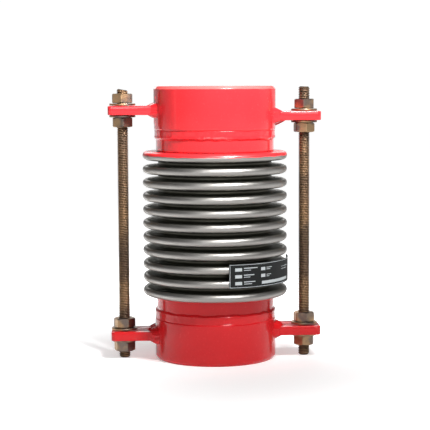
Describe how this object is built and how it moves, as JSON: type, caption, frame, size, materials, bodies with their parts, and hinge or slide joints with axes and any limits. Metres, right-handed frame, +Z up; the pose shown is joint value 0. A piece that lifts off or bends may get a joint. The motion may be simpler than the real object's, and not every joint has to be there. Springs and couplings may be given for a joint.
{
  "type": "metal bellows expansion joint",
  "caption": "Axial stainless bellows expansion joint with weld ends, welded lugs and threaded tie rods that set its length by clamping nuts.",
  "frame": {"origin": "centre of the lower pipe end's face, which is the bottom of the part", "axes": "+Z up along the pipe's axis, +X toward the right tie rod, -Y toward the front"},
  "size_m": [0.1875, 0.1289, 0.2419],
  "materials": {
    "red_paint": "gloss red enamel",
    "stainless": "satin stainless",
    "passivated_rod": "yellow-brown passivated zinc",
    "zinc_gold": "yellow passivated zinc",
    "label_film": "dark printed film"
  },
  "bodies": {
    "lower_end": {"lower_weld_end": "red_paint", "lower_collar": "red_paint", "flow_liner": "stainless", "bellows": "stainless", "rating_label": "label_film", "tie_rod_left": "passivated_rod", "tie_rod_right": "passivated_rod", "lug_lower_left": "red_paint", "washer_lower_left_above": "zinc_gold", "washer_lower_left_below": "zinc_gold", "nut_lower_left_above": "zinc_gold", "nut_lower_left_below": "zinc_gold", "lug_lower_right": "red_paint", "washer_lower_right_above": "zinc_gold", "washer_lower_right_below": "zinc_gold", "nut_lower_right_above": "zinc_gold", "nut_lower_right_below": "zinc_gold"},
    "upper_end": {"upper_weld_end": "red_paint", "upper_collar": "red_paint", "lug_upper_left": "red_paint", "washer_upper_left_above": "zinc_gold", "washer_upper_left_below": "zinc_gold", "lug_upper_right": "red_paint", "washer_upper_right_above": "zinc_gold", "washer_upper_right_below": "zinc_gold"},
    "nut_upper_left_above_body": {"nut_upper_left_above": "zinc_gold"},
    "nut_upper_left_below_body": {"nut_upper_left_below": "zinc_gold"},
    "nut_upper_right_above_body": {"nut_upper_right_above": "zinc_gold"},
    "nut_upper_right_below_body": {"nut_upper_right_below": "zinc_gold"}
  },
  "joints": [
    {"name": "axial_stroke", "type": "slide", "parent": "lower_end", "child": "upper_end", "axis": [0, 0, 1], "range_m": [-0.02, 0.004], "deforming": ["bellows"]},
    {"name": "nut_upper_left_above_turn", "type": "hinge", "parent": "upper_end", "child": "nut_upper_left_above_body", "pos_m": [-0.0816, 0, 0.2314], "axis": [0, 0, 1], "range_deg": [-4801, 961]},
    {"name": "nut_upper_left_below_turn", "type": "hinge", "parent": "upper_end", "child": "nut_upper_left_below_body", "pos_m": [-0.0816, 0, 0.2102], "axis": [0, 0, 1], "range_deg": [-4801, 961]},
    {"name": "nut_upper_right_above_turn", "type": "hinge", "parent": "upper_end", "child": "nut_upper_right_above_body", "pos_m": [0.0798, 0, 0.2261], "axis": [0, 0, 1], "range_deg": [-4801, 961]},
    {"name": "nut_upper_right_below_turn", "type": "hinge", "parent": "upper_end", "child": "nut_upper_right_below_body", "pos_m": [0.0798, 0, 0.2049], "axis": [0, 0, 1], "range_deg": [-4801, 961]}
  ],
  "couplings": [
    {"joint": "nut_upper_left_above_turn", "follows": "axial_stroke", "rad_per_m": 4188.8},
    {"joint": "nut_upper_left_below_turn", "follows": "axial_stroke", "rad_per_m": 4188.8},
    {"joint": "nut_upper_right_above_turn", "follows": "axial_stroke", "rad_per_m": 4188.8},
    {"joint": "nut_upper_right_below_turn", "follows": "axial_stroke", "rad_per_m": 4188.8}
  ]
}
